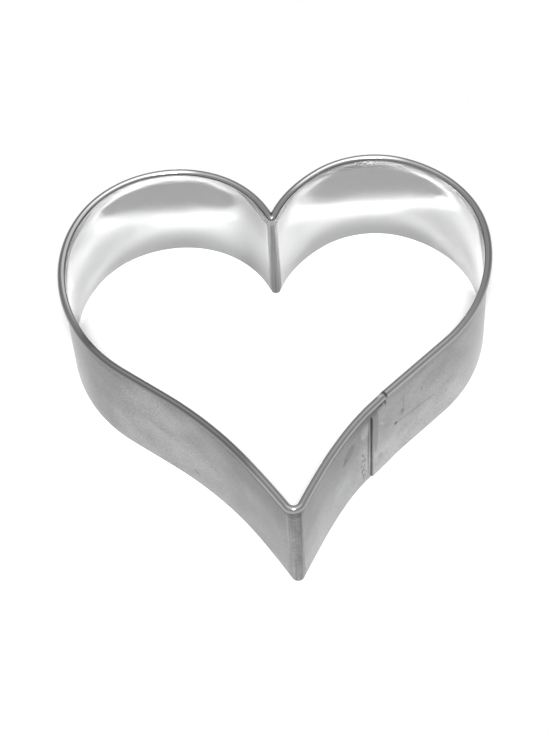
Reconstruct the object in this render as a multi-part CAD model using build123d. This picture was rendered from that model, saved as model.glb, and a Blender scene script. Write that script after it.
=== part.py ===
import os
from math import atan2, cos, degrees, radians, sin, sqrt

from build123d import *

# Driving dimensions, in millimetres and degrees.
# The tin strip: height over all, thickness, and the safe edge curled outward along its top,
# which is rolled in short flats.
strip_height = 25.4
sheet = 0.3
curl_radius = 0.75
curl_angle = 288
curl_flat_count = 16

# The heart, measured on the inner face of the strip.
heart_width = 93.5
heart_length = 96.9
cleft_depth = 16.6
cleft_bend = 1.0
cleft_heading = 68
tip_bend = 1.1
tip_heading = -117

# The lap seam on the straight of the right flank. The upper end of the strip butts against the
# curl of the lower end, and its tab, cut free of the curl, steps out and lies over the wall.
seam_lead = 15.2
joggle_run = 1.6
lap = 4.0
seam_tail = 0.4
butt_gap = 0.12
faying_gap = 0.04
tab_drop = 1.5
tab_taper = 1.4
relief_slit = 0.15
flare_run = 1.6
flare_lift = 0.12

# The spot welds through both layers of the lap, one above the other.
weld_count = 2
weld_pitch = 11.0
weld_diameter = 1.6
electrode_dimple = 0.03

# Stations of the outline on the right half, from cleft to tip: share of the half width, share
# of the length above the tip, and the heading there in degrees from +X.
crown_share = (0.479, 1.0, 0)
widest_share = (1.0, 0.712, -90)
plain_flank_share = (0.677, 0.394, -142.2)
seam_flank_share = (0.71, 0.41, -137.4)

# Sizes that follow from these.
curl_middle = Vector(curl_radius, strip_height - curl_radius)
tab_height = strip_height - 2 * curl_radius - tab_drop
lap_offset = sheet + faying_gap
lap_stack = sheet + lap_offset
flare_angle = 2 * degrees(atan2(flare_lift, flare_run))
weld_middle = (tab_height - tab_taper) / 2


def direction(heading):
    """Unit vector along a heading."""
    return Vector(cos(radians(heading)), sin(radians(heading)))


def outward(heading):
    """Unit vector square to a heading, out of the heart."""
    return direction(heading + 90)


def from_shares(x_share, y_share, heading):
    """A station of the outline: its point and its heading."""
    point = Vector(x_share * heart_width / 2, (y_share - 1 / 2) * heart_length)
    return point, heading


def mirrored(station):
    """The same station on the left half, where the strip runs back up to the cleft."""
    point, heading = station
    return Vector(-point.X, point.Y), -heading


def moved(station, ahead, out=0, turn=0):
    """A station moved along its heading and out of the heart, then turned."""
    point, heading = station
    return point + direction(heading) * ahead + outward(heading) * out, heading + turn


def tangent_arcs(start, end):
    """Two arcs that leave one station and reach another along their headings."""
    (first, first_heading), (last, last_heading) = start, end
    leaving, arriving = direction(first_heading), direction(last_heading)
    chord = last - first
    along = chord.dot(leaving + arriving)
    if first_heading == last_heading:
        reach = chord.dot(chord) / (2 * along)
    else:
        spread = 2 * (1 - leaving.dot(arriving))
        reach = (sqrt(along**2 + spread * chord.dot(chord)) - along) / spread
    knee, far_knee = first + leaving * reach, last - arriving * reach
    middle = (knee + far_knee) / 2
    return [
        TangentArc(first, middle, tangent=leaving),
        TangentArc(middle, last, tangent=far_knee - knee),
    ]


def bent(*stations):
    """The line of the inner face, bent through a row of stations."""
    return Wire([arc for pair in zip(stations, stations[1:]) for arc in tangent_arcs(*pair)])


def straight(start, end):
    """A straight stretch of the inner face."""
    return Wire([Line(start[0], end[0])])


def across(station):
    """The plane across the strip at a station, its X out of the heart and its Y up."""
    point, heading = station
    return Plane(point, x_dir=outward(heading), z_dir=direction(heading))


def carried(section, start, path):
    """A section carried along a path from its start."""
    return sweep(across(start) * section, path=path)


def rolled(radius):
    """One face of the curl cut across: the corners of its flats, from the wall round to its edge."""
    headings = [180 - curl_angle * flat / curl_flat_count for flat in range(curl_flat_count + 1)]
    return [curl_middle + direction(heading) * radius for heading in headings]


def curled_section(foot=0):
    """The strip cut across: the wall up from its foot, rolled outward along the top."""
    return make_face(Polyline(
        (0, foot),
        *rolled(curl_radius),
        *reversed(rolled(curl_radius - sheet)),
        (sheet, foot),
        close=True,
    ))


# Where the cleft bend and the tip bend run out, and the tip itself.
cleft_centre = Vector(0, heart_length / 2 - cleft_depth + cleft_bend)
cleft_exit = (cleft_centre - outward(cleft_heading) * cleft_bend, cleft_heading)
tip_centre = Vector(0, tip_bend - heart_length / 2)
tip_entry = (tip_centre + outward(tip_heading) * tip_bend, tip_heading)
tip = (tip_centre + outward(180) * tip_bend, 180)

# The outline between the bends.
lobe = [from_shares(*crown_share), from_shares(*widest_share)]
plain_flank = from_shares(*plain_flank_share)
seam_start = from_shares(*seam_flank_share)

# The seam's stations along its straight, on the inner face of each layer.
joggle_start = moved(seam_start, seam_lead)
butt = moved(joggle_start, joggle_run)
seam_end = moved(butt, lap + seam_tail)
tab_start = moved(butt, 0, lap_offset)
flare_start = moved(tab_start, lap - flare_run)
tab_end = moved(flare_start, flare_run, flare_lift, flare_angle)
weld_line = moved(butt, (lap - flare_run) / 2)


def left_half():
    """From the tip up the plain flank and over the left lobe, mitred at the cleft."""
    climb = [mirrored(station) for station in reversed([cleft_exit, *lobe, plain_flank, tip_entry])]
    run = carried(curled_section(), tip, bent(tip, *climb))
    return split(run, bisect_by=Plane.YZ, keep=Keep.BOTTOM)


def right_lobe():
    """From the cleft over the right lobe and down to the joggle, mitred at the cleft."""
    run = carried(curled_section(), cleft_exit, bent(cleft_exit, *lobe, seam_start))
    run += carried(curled_section(), seam_start, straight(seam_start, joggle_start))
    return split(run, bisect_by=Plane.YZ, keep=Keep.TOP)


def right_foot():
    """The lower end of the strip: from under the tab down the right flank to the tip."""
    end = moved(butt, butt_gap / 2)
    run = carried(curled_section(), end, straight(end, seam_end))
    return run + carried(curled_section(), seam_end, bent(seam_end, tip_entry, tip))


def cleft_fold():
    """The sharp bend at the cleft, as far out as the axis that the strip folds about."""
    entry = mirrored(cleft_exit)
    near_side = curled_section() & Rectangle(cleft_bend, strip_height, align=(Align.MIN, Align.MIN))
    axis = Axis(cleft_centre, Vector(0, 0, 1))
    return revolve(across(entry) * near_side, axis=axis, revolution_arc=2 * cleft_heading)


def butting_curl():
    """The last of the upper end's curl, above the slit that frees the tab."""
    path = straight(joggle_start, moved(butt, -butt_gap / 2))
    return carried(curled_section(tab_height + relief_slit), joggle_start, path)


def tab():
    """The upper end's tab: joggled out over the other layer, tapered, and sprung off at its edge."""
    wall = Rectangle(sheet, tab_height, align=(Align.MIN, Align.MIN))
    run = carried(wall, joggle_start, bent(joggle_start, tab_start))
    run += carried(wall, tab_start, straight(tab_start, flare_start))
    run += carried(wall, flare_start, bent(flare_start, tab_end))
    corner = make_face(Polyline(
        (0, tab_height),
        (lap + lap, tab_height),
        (lap + lap, tab_height - 2 * tab_taper),
        close=True,
    ))
    point, heading = butt
    beside = Plane(point, x_dir=direction(heading), z_dir=-outward(heading))
    return run - extrude(beside * corner, amount=lap, both=True)


def weld_place(number):
    """The plane of a weld on the inner face, its Z out through both layers."""
    point, heading = weld_line
    height = weld_middle + (number - (weld_count + 1) / 2) * weld_pitch
    return Plane(point + Vector(0, 0, height), z_dir=outward(heading))


def weld_plug(depth):
    """A round plug through the lap, from a given depth below both faces."""
    length = lap_stack - 2 * depth
    return Pos(0, 0, depth) * Cylinder(weld_diameter / 2, length, align=(Align.CENTER, Align.CENTER, Align.MIN))


heart_strip = left_half() + right_lobe() + right_foot() + cleft_fold() + butting_curl() + tab()
nodes = {}
for number in range(1, weld_count + 1):
    place = weld_place(number)
    heart_strip -= place * weld_plug(-sheet)
    nodes[f"spot_weld_{number}"] = place * weld_plug(electrode_dimple)
nodes["heart_strip"] = heart_strip

os.makedirs("parts", exist_ok=True)
for name, solid in nodes.items():
    export_step(solid, f"parts/{name}.step")
    print(name, solid.is_valid, len(solid.solids()), round(solid.volume, 3), solid.bounding_box())
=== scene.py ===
from math import ceil, cos, degrees, pi, radians, sin, sqrt

import bmesh
import bpy
from mathutils import Matrix, Vector


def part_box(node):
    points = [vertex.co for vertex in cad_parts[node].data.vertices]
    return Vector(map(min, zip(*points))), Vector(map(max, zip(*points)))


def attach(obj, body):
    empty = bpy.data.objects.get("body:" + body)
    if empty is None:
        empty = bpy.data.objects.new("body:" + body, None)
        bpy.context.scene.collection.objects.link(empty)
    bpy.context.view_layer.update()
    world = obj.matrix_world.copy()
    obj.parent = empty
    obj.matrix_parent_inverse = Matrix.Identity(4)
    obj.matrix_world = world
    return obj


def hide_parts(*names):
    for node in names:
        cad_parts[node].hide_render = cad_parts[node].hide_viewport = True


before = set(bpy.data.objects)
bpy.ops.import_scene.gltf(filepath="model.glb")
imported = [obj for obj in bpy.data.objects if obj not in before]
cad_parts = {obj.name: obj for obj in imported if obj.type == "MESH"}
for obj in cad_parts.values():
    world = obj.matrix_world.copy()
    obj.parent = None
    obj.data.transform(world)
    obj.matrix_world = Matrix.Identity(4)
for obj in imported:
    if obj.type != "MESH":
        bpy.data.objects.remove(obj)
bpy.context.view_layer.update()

scene = bpy.context.scene
scene.view_settings.view_transform = "Standard"


# The view of the cutter: a long lens that looks down on the heart from in front of its tip, turned
# a little so that the right lobe stands higher in the picture. The optical axis runs through the
# middle of the picture, so the lens has no shift.
aim = Vector((-0.00158, 0.00954, 0))
distance = 0.5515
elevation, azimuth, roll = radians(50.234), radians(-0.414), radians(-3.737)
focal_length, sensor_width = 119.23, 36
nearest = 0.01

camera = bpy.data.objects.new("camera", bpy.data.cameras.new("camera"))
scene.collection.objects.link(camera)
camera.data.sensor_width = sensor_width
camera.data.lens = focal_length
camera.data.clip_start = nearest
camera.matrix_world = (
    Matrix.Translation(aim)
    @ Matrix.Rotation(azimuth, 4, "Z")
    @ Matrix.Rotation(pi / 2 - elevation, 4, "X")
    @ Matrix.Rotation(roll, 4, "Z")
    @ Matrix.Translation((0, 0, distance))
)
scene.camera = camera


# The table: a broad sheet of white card. It takes the cutter's shadow, and the light that the
# bright walls throw back down on it.
table_reach = 2.0
card_white = 0.97

bm = bmesh.new()
bmesh.ops.create_grid(bm, x_segments=1, y_segments=1, size=table_reach)
table_mesh = bpy.data.meshes.new("table")
bm.to_mesh(table_mesh)
bm.free()
table = bpy.data.objects.new("table", table_mesh)
scene.collection.objects.link(table)
card = bpy.data.materials.new("white_card")
card.use_nodes = True
shader = card.node_tree.nodes["Principled BSDF"]
shader.inputs["Base Color"].default_value = (card_white, card_white, card_white, 1)
shader.inputs["Roughness"].default_value = 1
shader.inputs["Specular IOR Level"].default_value = 0
table_mesh.materials.append(card)


# The light: one soft lamp high up in front, in a grey room with a pale ceiling. The lamp's light
# runs down the far walls and gathers on the card at their feet, where the walls mirror it. The
# camera and the metal see the room in full, and the rest of the scene gets a share of its light.
lamp_elevation, lamp_azimuth = radians(59), radians(-0.7)
lamp_strength, lamp_spread = 3.2, radians(11)
wall_light, ceiling_light = 0.6, 1.3
ceiling_from, ceiling_full = 0.75, 0.92
room_share = 0.2

lamp_data = bpy.data.lights.new("key_lamp", "SUN")
lamp_data.energy = lamp_strength
lamp_data.angle = lamp_spread
lamp = bpy.data.objects.new("key_lamp", lamp_data)
scene.collection.objects.link(lamp)
lamp.rotation_euler = (pi / 2 - lamp_elevation, 0, lamp_azimuth)
room = bpy.data.worlds.new("room")
scene.world = room
room.use_nodes = True
nodes, links = room.node_tree.nodes, room.node_tree.links
facing = nodes.new("ShaderNodeTexCoord")
steepness = nodes.new("ShaderNodeSeparateXYZ")
fade = nodes.new("ShaderNodeMapRange")
fade.interpolation_type = "SMOOTHSTEP"
fade.inputs["From Min"].default_value = ceiling_from
fade.inputs["From Max"].default_value = ceiling_full
fade.inputs["To Min"].default_value = wall_light
fade.inputs["To Max"].default_value = ceiling_light
links.new(facing.outputs["Generated"], steepness.inputs[0])
links.new(steepness.outputs["Z"], fade.inputs["Value"])
kind_of_ray = nodes.new("ShaderNodeLightPath")
seen = nodes.new("ShaderNodeMath")
mirrored_too = nodes.new("ShaderNodeMath")
dimmed = nodes.new("ShaderNodeMapRange")
strength = nodes.new("ShaderNodeMath")
strength.operation = "MULTIPLY"
dimmed.inputs["To Min"].default_value = room_share
links.new(kind_of_ray.outputs["Is Camera Ray"], seen.inputs[0])
links.new(kind_of_ray.outputs["Is Glossy Ray"], seen.inputs[1])
links.new(seen.outputs[0], mirrored_too.inputs[0])
links.new(kind_of_ray.outputs["Is Transmission Ray"], mirrored_too.inputs[1])
links.new(mirrored_too.outputs[0], dimmed.inputs["Value"])
links.new(fade.outputs["Result"], strength.inputs[0])
links.new(dimmed.outputs["Result"], strength.inputs[1])
links.new(strength.outputs[0], nodes["Background"].inputs["Strength"])
nodes["Background"].inputs["Color"].default_value = (1, 1, 1, 1)

# The light that the metal gathers is neither blurred nor cut off.
scene.cycles.blur_glossy = 0
scene.cycles.sample_clamp_indirect = 0


# The strip: one length of thin tinplate, its top edge rolled outward into a curl so that it is safe
# to press on. It starts at the seam on the right flank, is bent round the tip, over the left lobe,
# sharply into the cleft and over the right lobe, and ends in a tab lapped over its own start.
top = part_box("heart_strip")[1]
overhang = 0.0015
half_width, half_length, strip_height = top.x - overhang, top.y - overhang, top.z
sheet = 0.0003
curl_radius, curl_turn, curl_steps = 0.00086, radians(288), 24
draft, wall_step = 0.00045, 0.0014
neck_height, neck_depth, neck_bend, neck_steps = 0.0034, 0.00055, 1.5, 14
cleft_depth, cleft_bend, cleft_heading, cleft_press = 0.0166, 0.001, 68, 0.00602
tip_bend, tip_heading, left_tip_heading = 0.0011, -117.4, -119.6
right_lobe = (0.255, 0.969, 33.0), (0.951, 0.8415, -66.5), (1.0, 0.722, -90)
left_lobe = (0.0907, 0.9005, 55.3), (0.891, 0.8896, -57.0), (1.0, 0.7045, -90)
left_flank = (0.7286, 0.4104, -139.0), (0.3688, 0.2502, -132.1)
seam_share, foot_share = (0.7465, 0.4318, -137.2), (0.2524, 0.1935, -126.2)
seam_lead, seam_kink, lap, seam_tail = 0.02, 3, 0.004, 0.0004
butt_gap = 0.0003
joggle_run, lap_offset = 0.005, 0.00032
tab_drop, tab_taper = 0.0015, 0.0014
flare_run, flare_lift = 0.0016, 0.00003
tip_lean, lean_middle, lean_reach, upright_share = 0.0012, 0.002, 0.013, 0.75
finest_turn, longest_step, sharp_from = radians(2.5), 0.0012, radians(40)
tiny = 1e-6


def direction(heading):
    """Unit vector along a heading in degrees."""
    return Vector((cos(radians(heading)), sin(radians(heading)), 0))


def station(x_share, y_share, heading):
    """A place on the outline, in shares of the heart's size, and the strip's heading there."""
    return Vector((x_share * half_width, (2 * y_share - 1) * half_length, 0)), heading


def mirrored(place):
    """The same place on the left half, where the strip runs the other way."""
    point, heading = place
    return Vector((-point.x, point.y, 0)), -heading


def moved(place, ahead, out=0, turn=0):
    """A place moved along its heading and out of the heart, then turned."""
    point, heading = place
    return point + direction(heading) * ahead + direction(heading + 90) * out, heading + turn


def knee(start, end):
    """Where two tangent arcs between a pair of places meet."""
    (first, first_heading), (last, last_heading) = start, end
    leaving, arriving = direction(first_heading), direction(last_heading)
    chord = last - first
    onward = chord.dot(leaving + arriving)
    spread = 2 * (1 - leaving.dot(arriving))
    if spread < tiny:
        reach = chord.dot(chord) / (2 * onward)
    else:
        reach = (sqrt(onward**2 + spread * chord.dot(chord)) - onward) / spread
    return (first + leaving * reach + last - arriving * reach) / 2


def edges_in(ring):
    """The edges of a ring, without their ends."""
    return [item for item in ring if isinstance(item, bmesh.types.BMEdge)]


def ends_in(ring):
    """The ends of a ring's edges."""
    return [item for item in ring if isinstance(item, bmesh.types.BMVert)]


def carry(ring, start, *stops):
    """Draws the ring of edges on from place to place, and notes how far along the strip it is."""
    for end in stops:
        middle = knee(start, end)
        point, heading = start
        for target in (middle, end[0]):
            chord = target - point
            half_turn = -direction(heading).xy.angle_signed(chord.xy)
            straight = abs(half_turn) < tiny
            if straight:
                run, centre = chord.length, point
            else:
                radius = chord.length / (2 * sin(half_turn))
                run, centre = 2 * half_turn * radius, point + direction(heading + 90) * radius
            steps = ceil(max(abs(2 * half_turn) / finest_turn, run / longest_step))
            shift = chord / steps if straight else Vector()
            turn = 0 if straight else 2 * half_turn / steps
            for _ in range(steps):
                reached = ends_in(ring)[0][along] + run / steps
                ring = bmesh.ops.spin(
                    strip, geom=ring, cent=centre, axis=(0, 0, 1), dvec=shift, angle=turn, steps=1
                )["geom_last"]
                for vert in ends_in(ring):
                    vert[along] = reached
            point, heading = target, heading + degrees(2 * half_turn)
        start = end
    return ring


def lower_part(ring, highest):
    """The edges of a ring, with their ends, that lie no higher than a given height."""
    low = [edge for edge in edges_in(ring) if all(vert.co.z < highest + tiny for vert in edge.verts)]
    return low + list({vert for edge in low for vert in edge.verts})


def eased(share):
    """A share from 0 to 1, made to start and end gently."""
    return share**2 * (3 - 2 * share)


# Places along the outline: the cleft, the tip, the two lobes and flanks, and the seam.
cleft_centre = Vector((0, half_length - cleft_depth + cleft_bend, 0))
cleft = (cleft_centre - direction(90) * cleft_bend, 0)
cleft_exit = (cleft_centre - direction(cleft_heading + 90) * cleft_bend, cleft_heading)
tip_centre = Vector((0, tip_bend - half_length, 0))
tip = (tip_centre + direction(270) * tip_bend, 180)
tip_entry = (tip_centre + direction(tip_heading + 90) * tip_bend, tip_heading)
left_tip_entry = (tip_centre + direction(left_tip_heading + 90) * tip_bend, left_tip_heading)
over_right = [station(*share) for share in (*right_lobe, seam_share)]
up_left = [mirrored(station(*share)) for share in reversed((*left_lobe, *left_flank))]
butt = moved(over_right[-1], seam_lead)
upper_end = moved(butt, -butt_gap / 2)
lower_end = moved(moved(butt, 0, turn=seam_kink), butt_gap / 2)
seam_end, tab_end = moved(lower_end, lap + seam_tail), moved(lower_end, lap - butt_gap / 2)

# The strip cut across at its lower end: the sheet's thickness at the foot is drawn up the wall,
# which leans in a little below the curl, and is then rolled outward.
curl_middle = strip_height - curl_radius
tab_height = strip_height - overhang - tab_drop
strip = bmesh.new()
along = strip.verts.layers.float.new("along")
up = strip.verts.layers.float.new("up")
bright_side = strip.verts.layers.float.new("bright_side")
neck_foot = curl_middle - neck_height
wall_steps = ceil(neck_foot / wall_step)
wall_rows = [neck_foot * step / wall_steps for step in range(wall_steps)]
neck_rows = [neck_foot + neck_height * step / neck_steps for step in range(neck_steps + 1)]
heights = sorted([*wall_rows, *neck_rows, tab_height])
across = bmesh.ops.create_vert(strip, co=(0, 0, 0))["vert"]
bmesh.ops.spin(strip, geom=across, cent=(0, 0, 0), axis=(0, 0, 1), dvec=(sheet, 0, 0), angle=0, steps=1)
across = list(strip.verts) + list(strip.edges)
for low, high in zip(heights, heights[1:]):
    bent, bent_more = (max(0, 1 + (z - curl_middle) / neck_height) ** neck_bend for z in (low, high))
    rise = (draft * (high - low) / curl_middle - neck_depth * (bent_more - bent), 0, high - low)
    across = bmesh.ops.spin(
        strip, geom=across, cent=(0, 0, 0), axis=(0, 0, 1), dvec=rise, angle=0, steps=1
    )["geom_last"]
curl_centre = (curl_radius + draft - neck_depth, 0, curl_middle)
bmesh.ops.spin(strip, geom=across, cent=curl_centre, axis=(0, 1, 0), angle=curl_turn, steps=curl_steps)
for number, vert in enumerate(strip.verts):
    rolled = (number // 2 + 1 - len(heights)) / curl_steps
    vert[up] = vert.co.z if rolled < 0 else curl_middle + curl_radius * curl_turn * rolled
    vert[bright_side] = 1 - number % 2
bmesh.ops.transform(strip, matrix=Matrix.Rotation(radians(lower_end[1] + 90), 4, "Z"), verts=strip.verts)
bmesh.ops.translate(strip, verts=strip.verts, vec=lower_end[0])

# Bent round to the seam again. At the cleft the two lobes' curls are pressed flat on each other.
ring = [edge for edge in strip.edges if edge.is_boundary] + list(strip.verts)
round_tip = (seam_end, station(*foot_share), tip_entry, tip, mirrored(left_tip_entry))
ring = carry(ring, lower_end, *round_tip, *up_left, mirrored(cleft_exit), cleft)
at_cleft = max(vert[along] for vert in strip.verts)
ring = carry(ring, cleft, cleft_exit, *over_right, upper_end)
for vert in strip.verts:
    past_cleft = vert[along] - at_cleft
    if abs(past_cleft) < tiny:
        vert.co.x = 0
    elif abs(past_cleft) < cleft_press:
        vert.co.x = max(vert.co.x, 0) if past_cleft > 0 else min(vert.co.x, 0)

# The curl ends at the seam. The wall below it goes on as the tab, which steps out over the lower
# end, tapers, and springs off a little at its edge. Near the tip the wall leans.
at_butt = max(vert[along] for vert in strip.verts)
tab_ring = lower_part(ring, tab_height)
shoulder_ends = [vert for vert in ends_in(tab_ring) if vert.co.z > tab_height - tiny]
shoulder = bmesh.ops.contextual_create(strip, geom=shoulder_ends)["edges"]
curl_end = [edge for edge in edges_in(ring) if edge not in tab_ring]
bmesh.ops.contextual_create(strip, geom=curl_end + shoulder)
tab_edge = carry(tab_ring + shoulder, upper_end, lower_end, tab_end)
bmesh.ops.contextual_create(strip, geom=edges_in(tab_edge))
off_lap = direction(tab_end[1] + 90)
for vert in strip.verts:
    beyond = vert[along] - at_butt
    below_curl = min(1, max(0, (strip_height - overhang - vert.co.z) / tab_drop))
    stepped = min(1, max(0, 1 + beyond / joggle_run)) * below_curl
    sprung = max(0, 1 + (beyond - lap) / flare_run) ** 2 * (1 / 2 + vert.co.z / strip_height)
    vert.co += off_lap * (lap_offset * eased(stepped) + flare_lift * sprung)
    if beyond > 0:
        vert.co.z *= 1 - tab_taper / tab_height * beyond / lap
    near_tip = max(0, 1 - abs(vert.co.x - lean_middle) / lean_reach) if vert.co.y < 0 else 0
    vert.co.y -= tip_lean * (upright_share - vert.co.z / strip_height) * eased(near_tip)

bmesh.ops.recalc_face_normals(strip, faces=strip.faces)
for face in strip.faces:
    face.smooth = True
strip_map = strip.loops.layers.uv.new("along_and_up")
for face in strip.faces:
    for loop in face.loops:
        loop[strip_map].uv = (loop.vert[along], loop.vert[up])
strip_mesh = bpy.data.meshes.new("heart_strip_bent")
strip.to_mesh(strip_mesh)
strip.free()
strip_mesh.set_sharp_from_angle(angle=sharp_from)
heart_strip = bpy.data.objects.new("heart_strip_bent", strip_mesh)
scene.collection.objects.link(heart_strip)

# Its finish: bright inside and along the curl, duller outside, with the grain of the rolling mill
# along the strip. The two sharp bends are worked matt, the foot gets painted shade, and the cut edges
# are raw.
inside_tone, inside_roughness = 0.37, 0.1
outside_tone, outside_roughness = 0.27, 0.26
curl_tone, curl_roughness = 0.38, 0.14
bend_tone, bend_roughness = 0.29, 0.4
edge_tone, edge_roughness = 0.45, 0.5
finish_change = 0.0002
lobes_from, lobes_full = -0.005, 0.02
fold_reach, tip_reach, reach_growth = 0.00108, 0.0013, 0.012
tinplate = bpy.data.materials.new("tinplate")
tinplate.use_nodes = True
nodes, links = tinplate.node_tree.nodes, tinplate.node_tree.links
shader = nodes["Principled BSDF"]
shader.inputs["Metallic"].default_value = 1


def maths(operation, first, second=None, third=None):
    """A maths node, fed with sockets or plain numbers."""
    node = nodes.new("ShaderNodeMath")
    node.operation = operation
    for value, socket in zip((first, second, third), node.inputs):
        if isinstance(value, bpy.types.NodeSocket):
            links.new(value, socket)
        elif value is not None:
            socket.default_value = value
    return node.outputs[0]


def ramp(value, start, end, low=0, high=1):
    """A smooth change from low to high as a value goes from start to end."""
    node = nodes.new("ShaderNodeMapRange")
    node.interpolation_type = "SMOOTHSTEP"
    links.new(value, node.inputs["Value"])
    for name, number in (("From Min", start), ("From Max", end)):
        node.inputs[name].default_value = number
    for name, number in (("To Min", low), ("To Max", high)):
        if isinstance(number, bpy.types.NodeSocket):
            links.new(number, node.inputs[name])
        else:
            node.inputs[name].default_value = number
    return node.outputs["Result"]


def both(mask, other):
    """Where two masks overlap."""
    return maths("MULTIPLY", mask, other)


def grain(place, stretch, detail):
    """Noise about zero, from -1 to 1, with its own number of grains per metre along each axis."""
    scaled = nodes.new("ShaderNodeVectorMath")
    scaled.operation = "MULTIPLY"
    links.new(place, scaled.inputs[0])
    scaled.inputs[1].default_value = stretch
    noise = nodes.new("ShaderNodeTexNoise")
    noise.inputs["Scale"].default_value = 1
    noise.inputs["Detail"].default_value = detail
    links.new(scaled.outputs[0], noise.inputs["Vector"])
    return maths("MULTIPLY_ADD", noise.outputs["Fac"], 2, -1)


def mark(middle, reach, turn=0, softness=0.6):
    """A soft-edged oval mark on the strip, from its middle and its reach along and up the sheet."""
    place = nodes.new("ShaderNodeMapping")
    place.vector_type = "TEXTURE"
    place.inputs["Location"].default_value = (*middle, 0)
    place.inputs["Rotation"].default_value = (0, 0, radians(turn))
    place.inputs["Scale"].default_value = (*reach, 1)
    links.new(on_strip, place.inputs["Vector"])
    length = nodes.new("ShaderNodeVectorMath")
    length.operation = "LENGTH"
    links.new(place.outputs[0], length.inputs[0])
    return ramp(length.outputs["Value"], 1 - softness, 1, 1, 0)


def marked(tone, area, *marks):
    """A tone with marks on one area, each given as its mask and the share of the tone it leaves."""
    for mask, share in marks:
        tone = maths("MULTIPLY", tone, ramp(both(mask, area), 0, 1, 1, share))
    return tone


# Where a point lies: along the strip from the seam and up the sheet, and across and along the heart.
strip_place = nodes.new("ShaderNodeUVMap")
strip_place.uv_map = "along_and_up"
on_strip = strip_place.outputs[0]
split_strip = nodes.new("ShaderNodeSeparateXYZ")
links.new(on_strip, split_strip.inputs[0])
u, v = split_strip.outputs["X"], split_strip.outputs["Y"]
heart_place = nodes.new("ShaderNodeTexCoord")
split_heart = nodes.new("ShaderNodeSeparateXYZ")
links.new(heart_place.outputs["Object"], split_heart.inputs[0])
x, y = split_heart.outputs["X"], split_heart.outputs["Y"]
side = nodes.new("ShaderNodeAttribute")
side.attribute_name = "bright_side"

# The five finishes: inside, outside, the curl, the worked bends and the cut edges.
change_from, change_to = curl_middle - finish_change, curl_middle + finish_change
inside = ramp(side.outputs["Fac"], 0, 1)
on_curl = ramp(v, change_from, change_to)
over_lobes = ramp(y, lobes_from, lobes_full)
from_bend = maths("MULTIPLY_ADD", over_lobes, tip_reach - fold_reach, maths("ABSOLUTE", x))
from_bend = maths("MULTIPLY_ADD", v, reach_growth, from_bend)
at_bend = both(ramp(from_bend, tip_reach, tip_reach * 1.5, 1, 0), ramp(v, neck_foot, curl_middle, 1, 0))
raw_edge = ramp(maths("ABSOLUTE", maths("SUBTRACT", side.outputs["Fac"], 0.5)), 0.1, 0.2, 1, 0)
tone = ramp(inside, 0, 1, outside_tone, inside_tone)
roughness = ramp(inside, 0, 1, outside_roughness, inside_roughness)
for mask, its_tone, its_roughness in (
    (on_curl, curl_tone, curl_roughness),
    (at_bend, bend_tone, bend_roughness),
    (raw_edge, edge_tone, edge_roughness),
):
    tone, roughness = ramp(mask, 0, 1, tone, its_tone), ramp(mask, 0, 1, roughness, its_roughness)

# The rolled grain, cloudy patches, fine speckle, and upright streaks where the sheet was bent.
streaks = grain(on_strip, (90, 2600, 1), detail=3)
clouds = grain(on_strip, (140, 190, 1), detail=5)
speckle = grain(on_strip, (1500, 1800, 1), detail=1)
bend_streaks = both(at_bend, grain(on_strip, (2600, 70, 1), detail=2))
mottled = maths("MULTIPLY_ADD", clouds, 0.38, maths("MULTIPLY_ADD", speckle, 0.32, 1))
dull_grain = maths("MULTIPLY_ADD", streaks, 0.05, mottled)
bright_grain = maths("MULTIPLY_ADD", streaks, 0.03, maths("MULTIPLY_ADD", speckle, 0.02, 1))
tone = maths("MULTIPLY", tone, ramp(inside, 0, 1, dull_grain, bright_grain))
tone = maths("MULTIPLY", tone, maths("MULTIPLY_ADD", bend_streaks, 0.5, 1))

# Painted light and shade outside: shade along the foot and under the curl, light on the right flank,
# shade on the right foot with a light patch by the seam, and shade and a light streak down the left
# flank from the tip to the left turn.
outside = both(maths("SUBTRACT", 1, inside), ramp(v, change_from, curl_middle, 1, 0))
right_foot, right_flank = ramp(u, 0.033, 0.036, 1, 0), ramp(u, 0.27, 0.295)
lower_wall, upper_wall = ramp(v, 0.003, 0.013, 1, 0), ramp(v, 0.005, 0.018)
tone = marked(
    tone, outside,
    # Each share below 1 is painted shade, each share above 1 is painted light.
    (ramp(v, 0, 0.0004, 1, 0), 0.72),
    (ramp(v, curl_middle - 0.0022, curl_middle - 0.001), 0.72),
    (right_flank, 1.34),
    (both(right_flank, lower_wall), 1.1),
    (right_foot, 0.9),
    (both(right_foot, upper_wall), 0.72),
    (mark((0.003, 0.011), (0.008, 0.014), softness=0.8), 1.45),
    (maths("SUBTRACT", ramp(u, 0.036, 0.037), ramp(u, 0.045, 0.078)), 0.72),
    (both(ramp(u, 0.045, 0.062, 1, 0), ramp(v, curl_middle - 0.0036, curl_middle - 0.0026)), 0.78),
    (mark((0.05, 0.021), (0.022, 0.009), softness=0.7), 0.82),
    (mark((0.08, 0.016), (0.014, 0.012), softness=0.9), 1.2),
    (ramp(u, 0.088, 0.097), 0.78),
    (mark((0.104, 0.008), (0.01, 0.016), softness=0.6), 0.8),
)

# The seam, mostly in painted shade: a dark line along the tab's cut edge, a darker band beside it,
# the dark line of the edge's shade on the panel before it, the shade and a lighter patch under the
# curl, and the shade in the slit above the tab.
on_tab, tab_edge_at = ramp(u, at_butt - 0.001, at_butt), at_butt + lap
near_seam = ramp(u, 0.02, 0.03, 1, 0)
tone = marked(
    tone, outside,
    (both(on_tab, ramp(u, tab_edge_at - 0.0003, tab_edge_at - 0.0002)), 0.7),
    (both(on_tab, mark((tab_edge_at - 0.0009, 0.017), (0.001, 0.0105), softness=0.35)), 0.64),
    (both(near_seam, mark((lap + 0.0009, 0.0104), (0.0004, 0.0125))), 0.42),
    (mark((0.0085, 0.0206), (0.0065, 0.0008), softness=0.4), 0.82),
    (mark((0.0061, 0.018), (0.002, 0.0036), softness=0.6), 1.5),
    (mark((at_butt - 0.0001, 0.0224), (0.0004, 0.0016), turn=-4), 0.3),
)

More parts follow.
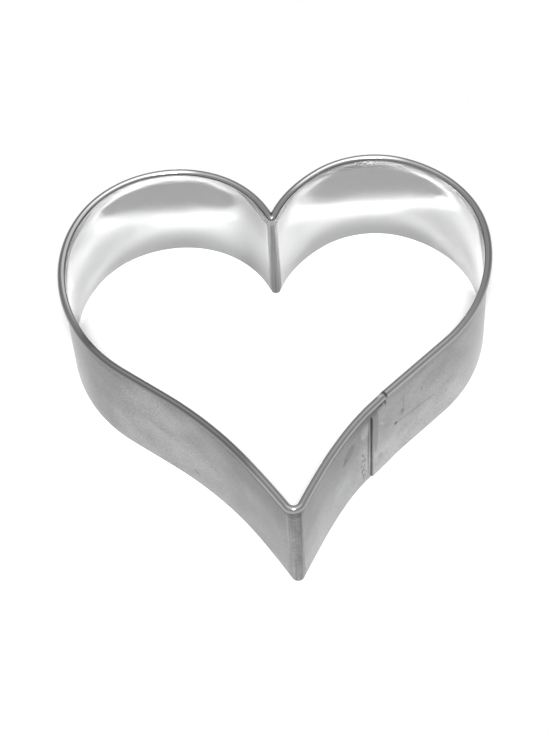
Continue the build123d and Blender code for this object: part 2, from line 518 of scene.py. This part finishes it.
# Handling marks: a dot with its scratch, three specks and a smear on the right flank, a smudge with
# a darker end left of the seam, a tick on the left flank, and two scuffs.
tone = marked(
    tone, outside,
    (mark((0.3087, 0.0112), (0.0009, 0.0006), turn=20), 0.15),
    (mark((0.3021, 0.0103), (0.0078, 0.0004), turn=8, softness=0.4), 0.74),
    (mark((0.2953, 0.0056), (0.0007, 0.0005)), 0.7),
    (mark((0.3004, 0.0154), (0.0006, 0.0006)), 0.75),
    (mark((0.2921, 0.0072), (0.0005, 0.0005)), 0.75),
    (mark((0.3066, 0.0135), (0.0008, 0.0012)), 0.6),
    (mark((0.3063, 0.0167), (0.0004, 0.0038)), 0.82),
    (mark((0.012, 0.0166), (0.0031, 0.0022), turn=-36, softness=0.5), 0.62),
    (mark((0.0137, 0.0152), (0.0014, 0.0012), turn=-50), 0.6),
    (mark((0.0689, 0.0035), (0.0012, 0.0005), turn=30), 0.65),
)
tone = marked(
    tone, both(outside, ramp(grain(on_strip, (2200, 900, 1), detail=2), -0.1, 0.2)),
    (mark((0.0065, 0.0064), (0.0013, 0.006), turn=-5, softness=0.4), 0.36),
    (mark((0.0771, 0.0118), (0.0075, 0.0012), turn=13), 0.85),
)

# The curl: a painted highlight along its crest over most of each lobe, painted shade on its outer
# side, down the left flank, low on the right foot and at the butt, a painted glint, and a darker patch.
# A painted highlight: the lamp's reflection drawn as a lighter band along the crest of each lobe.
crest = mark((0.16, curl_middle + 0.001), (0.3, 0.0004))
left_stretch = ramp(x, -0.02, -0.014, 1, 0)
right_stretch = both(ramp(x, 0.003, 0.009), ramp(x, 0.027, 0.034, 1, 0))
painted_highlight = both(over_lobes, maths("ADD", left_stretch, right_stretch))
left_flank_curl = both(ramp(x, -0.012, -0.004, 1, 0), ramp(x, -0.047, -0.041, 0.5, 1))
tone = marked(
    tone, on_curl,
    (both(painted_highlight, crest), 2.2),
    (both(over_lobes, ramp(v, curl_middle + 0.0013, curl_middle + 0.0017)), 0.65),
    (both(left_flank_curl, maths("SUBTRACT", 1, over_lobes)), 0.6),
    (both(right_foot, ramp(v, curl_middle + 0.0025, curl_middle + 0.0028)), 0.6),
    (mark((at_butt, curl_middle + 0.0018), (0.0003, 0.004)), 0.5),
    (mark((0, curl_middle + 0.0018), (0.0003, 0.004)), 0.5),
    (mark((0.0011, curl_middle + 0.001), (0.0009, 0.0006)), 1.8),
    (mark((0.0988, 0.0256), (0.0035, 0.0009)), 0.75),
)

# Painted shade inside: darker near the foot, left of the fold, round the left turn, and under the
# curl of the right lobe.
wall_inside = both(inside, ramp(v, curl_middle, change_to, 1, 0))
left_of_fold = both(ramp(x, -0.013, -0.003), ramp(x, -0.0015, -0.0013, 1, 0))
tone = marked(
    tone, wall_inside,
    (ramp(v, 0, 0.011, 1, 0), 0.78),
    (both(left_of_fold, over_lobes), 0.68),
    (ramp(x, -0.0475, -0.042, 1, 0), 0.87),
    (mark((0.2215, curl_middle), (0.024, 0.0032), softness=0.5), 0.5),
)
links.new(tone, shader.inputs["Base Color"])
links.new(maths("MULTIPLY_ADD", clouds, 0.03, roughness), shader.inputs["Roughness"])
strip_mesh.materials.append(tinplate)
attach(heart_strip, "root")
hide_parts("heart_strip")


# The two spot welds, one above the other through both layers of the lap: round nuggets of melted
# steel, made from both sides at once, flush with the sheets and dished a little by the electrodes.
weld_radius, weld_rim, weld_dish, weld_sides = 0.0008, 0.00012, 0.00003, 32
weld_height, weld_pitch = 0.0105, 0.011
weld_proud = 0.00001
weld_tone, weld_roughness = 0.29, 0.28
weld_material = bpy.data.materials.new("weld_nugget")
weld_material.use_nodes = True
nodes, links = weld_material.node_tree.nodes, weld_material.node_tree.links
shader = nodes["Principled BSDF"]
shader.inputs["Metallic"].default_value = 1
weld_place = nodes.new("ShaderNodeTexCoord")
pitting = grain(weld_place.outputs["Object"], (4000, 4000, 4000), detail=2)
links.new(maths("MULTIPLY_ADD", pitting, 0.03, weld_tone), shader.inputs["Base Color"])
links.new(maths("MULTIPLY_ADD", pitting, 0.06, weld_roughness), shader.inputs["Roughness"])
stack = lap_offset + sheet + 2 * weld_proud
for number, height in ((1, weld_height - weld_pitch / 2), (2, weld_height + weld_pitch / 2)):
    lean_out = draft * height / curl_middle
    middle, heading = moved(lower_end, (lap - flare_run) / 2, out=lean_out + stack / 2 - weld_proud)
    nugget = bmesh.new()
    bmesh.ops.create_cone(
        nugget, cap_ends=True, segments=weld_sides, radius1=weld_radius, radius2=weld_radius, depth=stack
    )
    ends = [face for face in nugget.faces if len(face.verts) == weld_sides]
    for end in ends:
        inward = end.normal * -weld_dish
        bmesh.ops.inset_region(nugget, faces=[end], thickness=weld_rim)
        bmesh.ops.translate(nugget, verts=end.verts, vec=inward)
    bmesh.ops.recalc_face_normals(nugget, faces=nugget.faces)
    nugget_mesh = bpy.data.meshes.new(f"spot_weld_{number}_nugget")
    nugget.to_mesh(nugget_mesh)
    nugget.free()
    nugget_mesh.materials.append(weld_material)
    weld = bpy.data.objects.new(f"spot_weld_{number}_nugget", nugget_mesh)
    scene.collection.objects.link(weld)
    turned = Matrix.Rotation(radians(heading + 90), 4, "Z") @ Matrix.Rotation(pi / 2, 4, "Y")
    nugget_mesh.transform(Matrix.Translation(middle + Vector((0, 0, height))) @ turned)
    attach(weld, "root")
    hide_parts(f"spot_weld_{number}")
